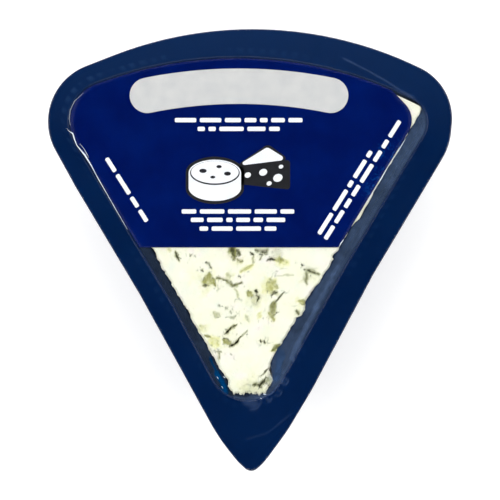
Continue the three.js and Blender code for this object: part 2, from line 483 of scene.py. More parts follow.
def film_material():
    """Clear film: see-through, with a gloss that grows towards grazing angles, and milky marks: cheese
    smears, and painted sheen and light where the film spans the gaps and at the lip.
    """
    shader = Shader("clear_film")
    haze_and_sheen, painted_teal_light = shader.channels("haze_and_sheen")[:2]
    wrinkles = shader.calc(shader.noise(3.5, detail=3), shader.noise(0.8, detail=2), "MULTIPLY")
    normal = shader.bump(wrinkles, 0.008)
    clear = shader.add("BsdfTransparent", Color=(0.985, 0.99, 0.995, 1))
    gloss = shader.add("BsdfGlossy", Color=(1, 1, 1, 1), Roughness=0.05, Normal=normal)
    facing = shader.add("LayerWeight", Blend=0.5, Normal=normal).outputs["Facing"]
    grazing = shader.calc(facing, 5.0, "POWER")
    shine = shader.between(grazing, 0, 1, 0.02, 0.7)
    sheet = shader.fill(shader.add("MixShader"), shine, clear.outputs[0], gloss.outputs[0])
    # the milky white is cheese smear and painted sheen of the film over the gaps; the teal is painted light
    # from the tray wall
    milk_and_sheen = shader.add("BsdfDiffuse", Color=shader.mix(painted_teal_light, linear(124, 156, 208), linear(0, 112, 196)))
    streak = shader.between(shader.noise(2.2, detail=3, distortion=0.8), 0.3, 0.7, 0.6, 1.0)
    cover = shader.calc(haze_and_sheen, streak, "MULTIPLY")
    return shader.finish(shader.fill(shader.add("MixShader"), cover, sheet, milk_and_sheen.outputs[0]))


# ---- Tray ----


def flange_wave(x, y):
    """The flange isn't quite flat: slow waves, a tenth of a millimetre high."""
    return 0.09 * rough(x, y, 26, 11, 2) - 0.05


SEAL_PITCH = 3.0
SEAL_OUT = 2.0  # how far outside the mouth the row of seal marks runs
SEAL_DEPTH = 0.05
SEAL_POINTS = 1440  # round the mouth, where the distance along it is looked up
SEAL_PALENESS = 0.35


def seal_marks(x, y, outside_mouth):
    """A row of soft square dents round the mouth, where the film was pressed on. 1 in the middle of one."""
    angles = bearings(mouth_line, SEAL_POINTS)
    travelled = travel(cast(mouth_line, angles))
    along = np.interp(np.arctan2(y - CENTRE[1], x - CENTRE[0]), angles, travelled)
    wobble = 0.3 * rough(x, y, 9, 211, 2)
    in_row = 1 - smooth(np.abs(outside_mouth - SEAL_OUT + wobble), 0.4, 1.2)
    in_step = smooth(np.cos(2 * math.pi * along / SEAL_PITCH), -0.5, 0.5)
    pressed = np.maximum(smooth(y - 0.8 * x, 45, 95), 0.4 * smooth(rough(x, y, 34, 215, 3), -0.2, 0.4))
    patchy = smooth(rough(x, y, 5, 219, 2), -0.35, 0.35)
    return in_row * in_step * pressed * patchy


def tray():
    def wall(z, outward):
        return (FLANGE_TOP - z) * DRAFT - outward

    foot_inner = wall(PLASTIC, 0) + FLOOR_RADIUS + FOOT_WIDTH
    under = FLANGE_TOP - PLASTIC
    outer_radius = FLOOR_RADIUS + PLASTIC
    # each part of the section as distances inward of its outline, and heights
    outside = [(foot_inner + PANEL_RISE, PANEL_RISE), (foot_inner, 0)]
    for run, rise in quarter_round(outer_radius):
        outside.append((wall(rise, PLASTIC) + outer_radius - run, rise))
    outside += [(wall(under - LIP_RADIUS, PLASTIC), under - LIP_RADIUS), (-PLASTIC - LIP_RADIUS, under)]
    edge = [(1.2, under), (0.3, under + 0.2), (0.05, under - 0.1), (0, under - 0.5)]
    edge += [(inward, FLANGE_TOP - drop) for inward, drop in ((0, 0.3), (0.06, 0.1), (0.2, 0.03), (0.6, 0))]
    lip, inside = [], []
    for run, rise in quarter_round(LIP_RADIUS):
        lip.append((wall(FLANGE_TOP - rise, 0) + run - LIP_RADIUS, FLANGE_TOP - rise))
    for run, rise in reversed(quarter_round(FLOOR_RADIUS)):
        inside.append((wall(PLASTIC + rise, 0) + FLOOR_RADIUS - run, PLASTIC + rise))
    inside += [(foot_inner, PLASTIC), (foot_inner + PANEL_RISE, PLASTIC + PANEL_RISE)]
    outside, edge, lip, inside = (
        [ring(outline, inward, z) for inward, z in section]
        for outline, section in ((MOUTH, outside), (FLANGE, edge), (MOUTH, lip), (MOUTH, inside))
    )
    flange = refine([edge[-1], lip[0]], 0.5)
    rings = [*refine([*outside, *edge], 2.2), *flange[1:-1], *refine([*lip, *inside], 2.2)]
    vertices, faces = skin(rings)
    x, y, z = vertices.T
    outside_mouth = -inside_by(mouth_line, x, y)
    on_flange = smooth(outside_mouth, 0.2, 2.5) * smooth(z, under - 1.5, under - 0.6)
    inside_edge = smooth(inside_by(flange_line, x, y), 0, 2.5)
    seal = seal_marks(x, y, outside_mouth) * on_flange
    vertices[:, 2] += flange_wave(x, y) * on_flange * inside_edge - SEAL_DEPTH * seal
    piece = mesh_piece("tray_shell", vertices, faces, tray_material(), "tray")
    paint(piece, "seal", [SEAL_PALENESS * seal])


# ---- Cheese ----

# The left and right edges of the cut wedge, from the blunt tip to the rind.
LEFT_EDGE = [(-4.9, -41), (-5.9, -39.8), (-6.3, -37.7), (-26.2, -2.9), (-49.6, 38)]
RIGHT_EDGE = [
    (4.4, -41), (5.2, -39.9), (6, -38.7), (6.4, -37.3), (5.7, -35.8), (5.4, -34.4), (6, -32.8),
    (6.7, -30.4), (9.4, -26.1), (12.8, -20.8), (13.1, -19.4), (14.6, -18.9), (15.6, -17), (15.8, -15),
    (17.7, -12.6), (18.5, -10.7), (19.8, -9.5), (21.7, -6.2), (23.9, -2.9), (24, -1.8), (25.7, 0.9),
    (29.6, 7.4), (31.6, 9), (33.3, 12.2), (34.8, 15.4), (49.9, 41.3),
]
RIND_BOW = 12.4  # how far the rind's arc stands out from its chord
WEDGE_HEIGHT = LEFT_EDGE[-1][1] - LEFT_EDGE[0][1]  # from the tip to the rind's left corner
CORNER_RADII = (9, 2)  # left and right rind corners
BITE_DEPTHS = (0.8, 0.5)  # left and right cut faces
NIBBLE_DEPTH = 0.32
TIP_REACH = 1.2  # the tip is ragged this far up
EDGE_REACH = 0.9  # the top falls away this close to its edge
EDGE_FALL = 0.9  # and this far, where it is worn most
CARD_FALL = 0.6  # but this much less under the card
FOOT_ROUND = 1.2
PALE_SHARE = 0.35
FINE = 0.27  # row spacing where the cheese shows
COARSE = 1.1  # and under the card
COLUMNS = 216
WALL_ROWS = 22
TAPER = 1.9  # the foot of the walls is this much further in

# Mould hollows and cracks: radius, depth, and the strength of olive, grey, yellow and dark, then the path.
# The dark is dark mould with painted shade in the hollows' depths.
HOLLOWS = [
    (0.55, 0.9, (0.5, 0.4, 0.2, 0.8), [(-21.3, -0.4), (-21, -1.6), (-20.2, -3.1)]),
    (0.45, 0.4, (0.3, 0, 0.5, 0), [(-23.4, 0.2), (-22.7, -0.2)]),
    (0.4, 0.5, (0.2, 0.3, 0, 0.7), [(-17, -1.9), (-16.6, -1.5)]),
    (0.35, 0.3, (0, 0.4, 0, 0.4), [(-15.8, -1.7), (-15.7, -2.2)]),
    (1.15, 1.3, (0.9, 0.5, 0.4, 0.7), [(-5.2, 0.8), (-4.9, -0.8), (-4.4, -2.2)]),
    (0.8, 1, (0.3, 0.9, 0.2, 0.6), [(-3.5, -0.5), (-2.9, -1.2)]),
    (0.65, 0.9, (0.5, 0.3, 0.5, 0.8), [(-3.4, -2.6), (-2.4, -3.5)]),
    (0.6, 0.9, (0.2, 0.4, 0, 0.9), [(0.3, -0.9), (0.8, -1.5)]),
    (0.3, 0.4, (0.3, 0.3, 0.3, 0.5), [(0.8, -1.5), (0.8, -2.7), (1, -3.9)]),
    (0.4, 0.4, (0.6, 0, 0.9, 0.1), [(0.7, -4.3), (-1, -5.3), (-2.6, -6.4)]),
    (0.35, 0.5, (0.1, 0.4, 0, 0.9), [(-3.2, -7.3), (-2.7, -7.9)]),
    (0.75, 0.9, (0.3, 0.6, 0.1, 0.8), [(1.8, 0.2), (3, -0.4), (4.4, -0.2), (4.7, -0.9)]),
    (0.35, 0.4, (0.2, 0.3, 0.2, 0.5), [(3.9, -1.3), (2.8, -2.9)]),
    (0.5, 1.2, (0.2, 0.2, 0, 1), [(4.9, -3.2), (6.1, -2.4), (7.3, -2.9)]),
    (0.95, 0.7, (0.9, 0, 0.9, 0.1), [(8, -3), (9.2, -2.9)]),
    (0.7, 0.3, (0.2, 0, 0.9, 0), [(9.2, -3.4), (10.3, -3.6)]),
    (1.9, 0.35, (0, 0.3, 0.1, 0), [(7.4, -0.8), (8.4, -1.6)]),
    (0.5, 0.8, (0.2, 0.4, 0, 0.9), [(14.5, -4.1), (15.1, -4.6)]),
    (0.65, 0.8, (0.4, 0.7, 0.2, 0.7), [(15.7, -5.7), (17.2, -6.3), (19.5, -6.9)]),
    (0.55, 0.6, (0.4, 0.6, 0.3, 0.4), [(16, -6), (16.2, -8), (16.4, -9.7)]),
    (1.7, 0.2, (0, 0.2, 0.3, 0), [(16.6, -6.8), (17.2, -7.6)]),
    (0.35, 0.6, (0.2, 0.4, 0, 0.8), [(-12.4, -3.4), (-11.6, -4.2), (-11.2, -5.3)]),
    (0.4, 0.5, (0.2, 0.4, 0, 0.8), [(-14.1, -5.8), (-13.5, -6.2)]),
    (1.7, 1, (1, 0.2, 0.5, 0), [(-11.4, -7.4), (-11.9, -8.6), (-10.6, -8.9)]),
    (0.55, 0.7, (0.6, 0.4, 0.3, 0.4), [(-12.6, -10), (-13.3, -10.3)]),
    (0.5, 0.6, (0.9, 0.2, 0.3, 0.2), [(-10.4, -9.6), (-9.9, -10.3)]),
    (0.5, 0.7, (0.6, 0.6, 0.1, 0.5), [(-9.6, -8), (-7, -8.6), (-5, -10.4), (-2.3, -9.2)]),
    (0.9, 0.3, (0.2, 0.4, 0.5, 0), [(-6.3, -6.8), (-5.9, -8)]),
    (0.4, 0.5, (0.2, 0.7, 0, 0.6), [(-2.5, -9), (-1.9, -9.4)]),
    (0.3, 0.3, (0.4, 0.3, 0.3, 0.2), [(-4.4, -10.8), (-3.7, -11.9), (-3.4, -13.7)]),
    (1.45, 0.7, (0.7, 0, 1, 0), [(5.3, -9.8), (6.4, -10.9)]),
    (0.55, 0.5, (0.9, 0.2, 0.3, 0.2), [(5.9, -8.7), (7.2, -9.8), (7.9, -11)]),
    (0.7, 1.1, (0.3, 0.5, 0.1, 0.9), [(6.4, -12.6), (7.6, -12)]),
    (0.3, 0.6, (0.2, 0.6, 0, 0.7), [(9.7, -12), (8.4, -13.6), (6.9, -15.1)]),
    (0.95, 1, (0.8, 0.5, 0.3, 0.3), [(6.9, -14.9), (6.6, -16.8), (6.9, -18.4)]),
    (0.55, 0.5, (0.9, 0.1, 0.6, 0.1), [(5.6, -17.7), (6.3, -18.9), (7.1, -20.1)]),
    (0.2, 0.2, (0.2, 0.4, 0.1, 0.1), [(7.4, -7.4), (9.8, -7.1), (12.6, -7.4)]),
    (0.9, 0.8, (1, 0.2, 0.4, 0.1), [(-0.4, -12.2), (0.5, -13)]),
    (0.45, 0.7, (0.2, 0.4, 0, 0.9), [(1.4, -11.8), (2.1, -12.2)]),
    (0.55, 0.8, (0.2, 0.8, 0, 0.7), [(1.7, -13.1), (2.6, -13.6), (2.3, -14.7)]),
    (1.3, 0.2, (0.1, 0.3, 0.4, 0), [(1.6, -14)]),
    (0.35, 0.3, (0, 0.6, 0.1, 0.4), [(-8.9, -15.9), (-8.4, -16.2)]),
    (0.35, 0.3, (0, 0.6, 0.1, 0.4), [(-6.9, -16.3), (-6.4, -16.8)]),
    (0.4, 0.4, (0.1, 0.6, 0.1, 0.6), [(-5.7, -17.4), (-5.3, -17.9)]),
    (0.75, 0.4, (0.3, 0.6, 0.3, 0.1), [(-10, -18.3), (-8.9, -18.9)]),
    (0.35, 0.3, (0.1, 0.6, 0.1, 0.3), [(-6.2, -19.3), (-4.6, -19.4), (-3.9, -18.9)]),
    (0.9, 0.7, (0.7, 0.1, 0.9, 0), [(14.4, -14.6), (15.6, -15.3)]),
    (0.6, 0.8, (0.5, 0.6, 0.1, 0.6), [(13.2, -17.6), (13.9, -18.4)]),
    (0.6, 0.2, (0, 0.5, 0.4, 0), [(-1.2, -18.9), (-0.6, -20.2)]),
    (0.6, 0.2, (0.2, 0, 0.8, 0), [(2.5, -18.4), (3, -18.8)]),
    (0.42, 1.3, (0.4, 0.1, 0.2, 0.9), [(-3.8, -21.3), (-5, -22.1), (-6, -22.9)]),
    (0.5, 1.2, (0.4, 0.2, 0.1, 0.9), [(-6, -22.9), (-7, -23.9)]),
    (1.1, 0.8, (0.9, 0.5, 0.3, 0.1), [(-7.4, -25.7), (-6.2, -26.5)]),
    (0.55, 1.5, (0.4, 0.1, 0, 1), [(-5.9, -27.4), (-4.5, -26.8), (-2.5, -25.1)]),
    (0.35, 0.5, (0.3, 0.7, 0.1, 0.3), [(-2.3, -24.9), (-1.5, -24.1), (-0.8, -23.2)]),
    (0.3, 0.4, (0.1, 0.3, 0, 0.7), [(-6.6, -25), (-6.2, -25.2)]),
    (0.45, 0.6, (0.9, 0.2, 0.3, 0.4), [(-12.7, -24.5), (-11.3, -25)]),
    (0.95, 0.3, (0.2, 0, 1, 0), [(-10.9, -25.5), (-9.3, -27.2)]),
    (0.9, 0.3, (0.1, 0.1, 0.6, 0), [(-14, -22), (-13.2, -23.2)]),
    (0.38, 0.7, (0.3, 0.2, 0, 0.9), [(3, -25.8), (3.4, -26.3)]),
    (0.4, 0.8, (0.4, 0.2, 0, 0.9), [(4.2, -26), (4.4, -26.8)]),
    (0.32, 0.4, (0.3, 0.5, 0.1, 0.3), [(-9.5, -29), (-8.1, -29.1)]),
    (0.4, 0.5, (0.4, 0.5, 0.2, 0.3), [(-8.8, -29.1), (-8.7, -31.1)]),
    (0.32, 0.4, (0.2, 0.4, 0, 0.6), [(-5.7, -29.8), (-5.2, -30.2)]),
    (0.6, 0.8, (1, 0.1, 0.5, 0.4), [(6.5, -28.9), (7.5, -27.9), (8.4, -27.3)]),
    (0.25, 0.9, (0.3, 0.4, 0, 0.7), [(5.5, -33.9), (4.3, -35), (3.1, -36.2)]),
    (0.6, 1.1, (0.4, 0.6, 0.1, 0.9), [(4.6, -36.5), (4, -37.7), (3, -38.7), (1.2, -38.4)]),
    (1, 0.5, (0.3, 0.9, 0.1, 0.1), [(5.6, -37.4)]),
    (1.9, 0.2, (0, 0.2, 0.4, 0), [(-1.4, -39.6), (2.6, -40)]),
]

TONE_SPREADS = (1.1, 1.7, 3.0, 0.6)  # how far each tone spreads past a hollow's edge
TONE_SOLID = (0.45, 0.15, 0.1, 0.4)  # the share of that where it is at its full strength
TONE_EVENNESS = (0.6, 0.4, 0.7, 0.5)  # the share of it that isn't patchy


def edge_points(edge, at):
    """Points of an edge at these shares of its height."""
    edge = np.array(edge, float)
    y = edge[0, 1] + (edge[-1, 1] - edge[0, 1]) * at
    return np.column_stack([np.interp(y, edge[:, 1], edge[:, 0]), y])


def cheese_rows():
    """Shares of the height at which the rows of the top lie, close together where it shows."""
    low, high = LEFT_EDGE[0][1], LEFT_EDGE[-1][1]
    shown = np.arange(low, 2.5, FINE)
    hidden = np.arange(2.5, high, COARSE)[1:]
    near_rind = high - np.geomspace(1.4, 0.02, 14)
    rows = np.concatenate([shown, hidden[hidden < high - 1.6], near_rind, [high]])
    return (rows - low) / WEDGE_HEIGHT


def mould_and_shade(x, y):
    """Depth of the hollows and the mould's four tones at each point; the dark tone is partly painted shade
    in the hollows.
    """
    bent_x = x + 0.42 * rough(x, y, 1.8, 21) + 0.14 * rough(x, y, 0.5, 31)
    bent_y = y + 0.42 * rough(x, y, 1.8, 41) + 0.14 * rough(x, y, 0.5, 51)
    ragged = 1 + 0.75 * rough(x, y, 0.9, 61)
    patches = smooth(rough(x, y, 1.0, 65), -0.5, 0.1)
    depth = np.zeros_like(x)
    tones = np.zeros((4, len(x)))
    near_mould, rim = np.zeros_like(x), np.zeros_like(x)
    broken = smooth(rough(x, y, 0.9, 235), -0.05, 0.3)
    for radius, deep, strengths, path in HOLLOWS:
        away, share = distance_along(path, bent_x, bent_y)
        reach = radius * ragged * (0.5 + 0.7 * np.sin(math.pi * (0.06 + 0.88 * share)))
        depth = np.maximum(depth, deep * (1 - smooth(away, 0.25 * reach, reach)))
        near_mould = np.maximum(near_mould, 1 - smooth(away, reach, reach + 2.2))
        edge = smooth(away, 0.55 * reach, 0.8 * reach) * (1 - smooth(away, 0.85 * reach, 1.1 * reach))
        rim = np.maximum(rim, edge * broken * min(1, deep + 0.2))
        for k, strength in enumerate(strengths):
            spread = reach * TONE_SPREADS[k]
            near = 1 - smooth(away, TONE_SOLID[k] * spread, spread)
            patchy = TONE_EVENNESS[k] + (1 - TONE_EVENNESS[k]) * patches
            tones[k] = np.maximum(tones[k], strength * near * patchy)
    # painted shade: a dark ring on each hollow's sloping wall
    tones[3] = np.maximum(tones[3], 0.7 * rim)
    # hairline cracks, with a faint mould in them near the veins
    crease = smooth(1 - np.abs(rough(x, y, 3.4, 171)), 0.95, 1) * smooth(rough(x, y, 2.4, 181), -0.1, 0.25)
    depth = np.maximum(depth, 0.25 * crease * (0.3 + 0.7 * near_mould))
    tones[1] = np.maximum(tones[1], 0.75 * crease * near_mould)
    # specks: small grey pits, darker near the veins with dark mould and painted shade
    speck = smooth(rough(x, y, 0.62, 191, 2), 0.5, 0.68) * (0.25 + 0.75 * near_mould)
    depth = np.maximum(depth, 0.35 * speck)
    tones[1] = np.maximum(tones[1], 0.7 * speck)
    tones[3] = np.maximum(tones[3], 0.5 * speck * near_mould)
    return depth, tones


def cheese_edges(at):
    """The wedge's left and right edges at these shares of its height: crumbly, and rounded at the rind."""
    left, right = edge_points(LEFT_EDGE, at), edge_points(RIGHT_EDGE, at)
    from_rind = (1 - at) * WEDGE_HEIGHT
    for edge, outward, radius, deep, seed in (
        (left, -1, CORNER_RADII[0], BITE_DEPTHS[0], 71),
        (right, 1, CORNER_RADII[1], BITE_DEPTHS[1], 81),
    ):
        close = np.clip(radius - from_rind, 0, radius)
        edge[:, 0] -= outward * (radius - np.sqrt(radius**2 - close**2))
        along = edge[:, 1]
        bites = deep * np.minimum(rough(along, along * 0, 2.6, seed, 4), 0.3)
        nibbles = NIBBLE_DEPTH * rough(along, along * 0, 0.9, seed + 9)
        edge[:, 0] += outward * bites + nibbles
    return left, right


def cheese_top():
    """The top as rows of points from the tip to the rind, the hollows' depth and the mould's tones."""
    at = cheese_rows()
    across = np.linspace(0, 1, COLUMNS)
    left, right = cheese_edges(at)
    span = right - left
    bow = RIND_BOW * at**2.5
    x = left[:, None, 0] + span[:, None, 0] * across
    y = left[:, None, 1] + span[:, None, 1] * across + bow[:, None] * 4 * across * (1 - across)
    to_tip = (at * WEDGE_HEIGHT)[:, None] + 0 * across
    y += np.exp(-((to_tip / TIP_REACH) ** 2)) * (0.7 * rough(x, x * 0, 0.9, 91, 4) - 0.2)

    to_side = np.minimum(across, 1 - across)[None, :] * span[:, None, 0]
    to_edge = np.minimum(np.minimum(to_side, to_tip), WEDGE_HEIGHT - to_tip)
    shape = x.shape
    x, y, to_edge = x.ravel(), y.ravel(), to_edge.ravel()
    depth, tones = mould_and_shade(x, y)
    worn = 0.55 + 0.45 * rough(x, y, 1.6, 101)
    fall = (1 - smooth(to_edge, 0, EDGE_REACH)) ** 2 * (EDGE_FALL - CARD_FALL * smooth(y, 0, 3))
    lumps = 0.10 * rough(x, y, 5, 111) + 0.05 * rough(x, y, 1.1, 121)
    z = CHEESE_TOP - 0.02 + np.minimum(lumps, 0.0) - worn * fall - depth
    return np.column_stack([x, y, z]), shape, depth, tones


def cheese_walls(rim):
    """Loops from the top's rim down to the floor: leaning inward, lumpy, and rounded at the foot."""
    direction = unit(CENTRE - rim[:, :2])
    spin = np.arange(len(rim)) * 0.3
    levels = []
    for row in range(1, WALL_ROWS + 1):
        share = row / WALL_ROWS
        lumps = 0.35 * rough(spin, spin * 0 + share * 22, 3, 131, 3)
        inward = TAPER * share + lumps * math.sin(math.pi * share)
        inward += FOOT_ROUND * smooth(np.array(share), 0.93, 1.0)
        level = rim[:, :2] + direction * inward[:, None]
        levels.append(np.column_stack([level, rim[:, 2] * (1 - share) + CHEESE_FLOOR * share]))
    return levels


def cheese():
    top, (rows, columns), depth, tones = cheese_top()
    index = np.arange(rows * columns).reshape(rows, columns)
    loop = np.concatenate([index[0, :], index[1:, -1], index[-1, -2::-1], index[-2:0:-1, 0]]).tolist()
    walls = cheese_walls(top[loop])
    vertices = np.vstack([top, *walls, [[*CENTRE, CHEESE_FLOOR]]])
    faces = []
    for row in range(rows - 1):
        for corner in range(row * columns, (row + 1) * columns - 1):
            faces.append((corner, corner + 1, corner + columns + 1, corner + columns))
    count = len(loop)
    first = rows * columns
    last = first + (WALL_ROWS - 1) * count
    for i in range(count):
        after = (i + 1) % count
        faces.append((loop[after], loop[i], first + i, first + after))
    faces.extend(face[::-1] for face in ring_faces(WALL_ROWS, count, first))
    faces.extend((last + (i + 1) % count, last + i, len(vertices) - 1) for i in range(count))
    piece = mesh_piece("cheese_body", vertices, faces, cheese_material(), "cheese_wedge")

    def padded(values):
        return np.concatenate([values, np.zeros(len(vertices) - len(top))])

    pale = PALE_SHARE * smooth(rough(top[:, 0], top[:, 1], 4.5, 141), 0.25, 0.8)
    paint(piece, "mould_and_shade", [padded(tone) for tone in tones])
    paint(piece, "paste", [padded(pale), padded(depth)])


# ---- Card ----

CARD_LIFT = 0.02  # clear of the cheese
CARD_EDGE = 0.04
MOIST_LINE = [(37, 18), (41, 27)]


def card_outline():
    """The card's blank, trimmed to the cavity."""
    blank = filleted(CARD)
    angles = bearings(blank, 720, CARD_CENTRE)
    own = cast(blank, angles, CARD_CENTRE) - CARD_CENTRE
    room = cast(filleted(inset(MOUTH, CARD_GAP)), angles, CARD_CENTRE) - CARD_CENTRE
    reach = np.minimum(np.hypot(*own.T), np.hypot(*room.T))
    return CARD_CENTRE + np.column_stack([np.cos(angles), np.sin(angles)]) * reach[:, None]


def card(outline):
    """The card's sheet, with its edges broken."""
    low, high = CARD_LOW + CARD_LIFT, CARD_TOP
    loops = [
        at_height(CARD_CENTRE + (outline - CARD_CENTRE) * (1 - pull), z)
        for pull, z in ((0.0015, low), (0, low + CARD_EDGE), (0, high - CARD_EDGE), (0.0015, high))
    ]
    bottom = to_middle(loops[0], 3, CARD_CENTRE)[::-1]
    top = to_middle(loops[-1], 2, CARD_CENTRE)
    vertices, faces = skin([*bottom, *loops, *top])
    x, y = vertices.T[:2]
    piece = mesh_piece("card_sheet", vertices, faces, card_material(), "label")
    paint(piece, "wet", [1 - smooth(distance_along(MOIST_LINE, x, y)[0], 1.5, 7)])


BAND_MIDDLE = (-3.1, 46.8)
BAND_RADIUS = 132
BAND_HALF_ANGLE = math.radians(11.45)
BAND_HALF_WIDTH = 5.05
INK = 0.02


def band_outline():
    """A bent capsule."""
    centre = np.array([BAND_MIDDLE[0], BAND_MIDDLE[1] - BAND_RADIUS])

    def arc(middle, radius, angles):
        return middle + radius * np.stack([np.sin(angles), np.cos(angles)], axis=1)

    sweep = np.linspace(-BAND_HALF_ANGLE, BAND_HALF_ANGLE, 60)
    cap = np.linspace(0, math.pi, 24)[1:-1]
    left_end, right_end = arc(centre, BAND_RADIUS, sweep[[0, -1]])
    return np.vstack([
        arc(centre, BAND_RADIUS + BAND_HALF_WIDTH, sweep),
        arc(right_end, BAND_HALF_WIDTH, sweep[-1] + cap),
        arc(centre, BAND_RADIUS - BAND_HALF_WIDTH, sweep[::-1]),
        arc(left_end, BAND_HALF_WIDTH, sweep[0] + math.pi + cap),
    ])[::-1]


# Rows of short bars where small print would be: the middle of the row, its length, direction in degrees.
PRINT_ROWS = [
    ((-3.2, 37.1), 36.5, 0), ((-3.2, 34.6), 23.5, 0),
    ((-3.4, 11), 32.2, 0), ((-3.4, 8.6), 27, 0), ((-3.4, 6.1), 22, 0),
    ((27.2, 16.4), 28, 57.8), ((32.2, 20), 40, 57.8),
    ((-35.2, 17.2), 21.5, -57.6),
]
BAR_HEIGHT = 1.25
BAR_ROUND = 0.4
WORD_GAP = 1.0


def bar(middle, length, turn):
    """A short bar with rounded corners, in place of a word."""
    corners = [
        (right * length / 2, up * BAR_HEIGHT / 2, BAR_ROUND)
        for right, up in ((1, -1), (1, 1), (-1, 1), (-1, -1))
    ]
    return turned(filleted(corners, 4), turn) + middle


def print_bars():
    draw = np.random.default_rng(5)
    solids = []
    for middle, length, degrees in PRINT_ROWS:
        turn = math.radians(degrees)
        direction = np.array([math.cos(turn), math.sin(turn)])
        words, total = [], 0.0
        while total < length:
            word = float(draw.uniform(2.0, 7.5))
            words.append(word)
            total += word + WORD_GAP
        scale = (length - WORD_GAP * (len(words) - 1)) / sum(words)
        start = -length / 2
        for word in words:
            size = word * scale
            where = np.array(middle) + direction * (start + size / 2)
            solids.append(plate(bar(where, size, turn), CARD_TOP, CARD_TOP + INK))
            start += size + WORD_GAP
    return solids


def blob(middle, width, height, points=40, turn=0.0):
    """An ellipse."""
    angles = np.linspace(0, 2 * math.pi, points, endpoint=False)
    ellipse = np.column_stack([width / 2 * np.cos(angles), height / 2 * np.sin(angles)])
    return turned(ellipse, turn) + middle


def grown(outline, by):
    """The outline swollen about its middle."""
    middle = outline.mean(axis=0)
    offsets = outline - middle
    lengths = np.linalg.norm(offsets, axis=1)[:, None]
    return middle + offsets * (1 + by / lengths)


def prints():
    """White, black and silver printing, each one thin layer on the card."""
    white, black = print_bars(), []
    z = CARD_TOP

    def ink(store, outline, layer):
        store.append(plate(outline, z, z + INK * layer))

    # a whole cheese
    wheel = np.array([-10.0, 20.4])
    side = np.vstack([
        blob(wheel + (0, 1.6), 15, 7.6, 60)[:31],
        blob(wheel - (0, 2.6), 15, 7.6, 60)[30:],
    ])
    ink(black, grown(side, 0.9), 1)
    ink(white, side, 1.6)
    ink(black, blob(wheel + (0, 1.6), 14.2, 6.9, 60), 2.2)
    ink(white, blob(wheel + (0, 1.8), 13.6, 6.4, 60), 2.8)
    for dx, dy, size in ((-3.4, 2.2, 1.5), (1.2, 3.4, 1.1), (3.6, 1.4, 1.4), (-0.6, 0.4, 1.0)):
        ink(black, blob(wheel + (dx, dy), size * 1.4, size * 0.8), 3.4)
    # a wedge of it, dark cut face and light rind
    wedge = np.array([3.6, 23.2])
    face = filleted([(7.2, -5.6, 0.8), (7.2, 2.2, 0.8), (-7.4, 0.2, 0.8), (-7.4, -4.0, 0.8)], 5) + wedge
    lid = filleted([(7.2, 2.6, 0.7), (1.4, 6.2, 1.2), (-7.4, 0.8, 0.5)], 5) + wedge
    ink(black, grown(face, 0.8), 1)
    ink(black, grown(lid, 0.8), 1.2)
    ink(white, lid, 1.8)
    holes = ((-4.2, -1.8, 1.5), (0.2, -1.0, 1.9), (4.4, -2.6, 2.2), (1.9, -4.2, 1.2), (5.3, 0.6, 1.1))
    for dx, dy, size in holes:
        ink(white, blob(wedge + (dx, dy), size * 1.25, size, 32, 0.4), 2)
    silver = [plate(band_outline(), CARD_TOP, CARD_TOP + INK)]
    for name, solids, material in (
        ("card_print_white", white, ink_and_glint_material("white_ink", (250, 250, 252), (240, 243, 248), 0.4)),
        ("card_print_black", black, ink_and_glint_material("black_ink", (4, 4, 10), (9, 9, 18), 0.4)),
        ("card_print_band", silver, ink_and_glint_material("silver_ink", (210, 209, 206), (200, 200, 199), 0.42)),
    ):
        vertices, faces = joined(solids)
        mesh_piece(name, vertices, faces, material, shade_smooth=False)


# ---- Film ----


def cheese_outline():
    at = np.linspace(0, 1, 160)
    left, right = edge_points(LEFT_EDGE, at), edge_points(RIGHT_EDGE, at)
    across = np.linspace(0, 1, 60)[1:-1]
    rind = right[-1] + (left[-1] - right[-1]) * across[:, None]
    rind[:, 1] += RIND_BOW * 4 * across * (1 - across)
    return np.vstack([right, rind, left[::-1]])


FILM_OVER_CHEESE = 0.45  # clearances from the film to what is under it
FILM_OVER_CARD = 0.04
FILM_RELIEF = 0.03


def film_height(x, y, card_line):
    """Height of the film's top over each point."""
    in_mouth = inside_by(mouth_line, x, y)
    on_card = smooth(inside_by(card_line, x, y, CARD_CENTRE), -1.2, 0.1)
    from_edge = inside_by(flange_line, x, y)
    raised = FILM_THICKNESS + 0.02 + 0.04 * smooth(from_edge, 0, 2)
    wave = flange_wave(x, y) * smooth(-in_mouth, 0.2, 2.5) * smooth(from_edge, 0, 2.5)
    on_flange = FLANGE_TOP + raised + wave
    over_cheese = CHEESE_TOP + FILM_OVER_CHEESE
    over_card = FLANGE_TOP + FILM_OVER_CARD
    over_contents = over_cheese + (over_card - over_cheese) * on_card
    wrinkles = FILM_RELIEF * rough(x, y, 9, 161, 2) * smooth(in_mouth, 0, 2)
    return on_flange + (over_contents + wrinkles - on_flange) * smooth(in_mouth, -0.3, 3.2)


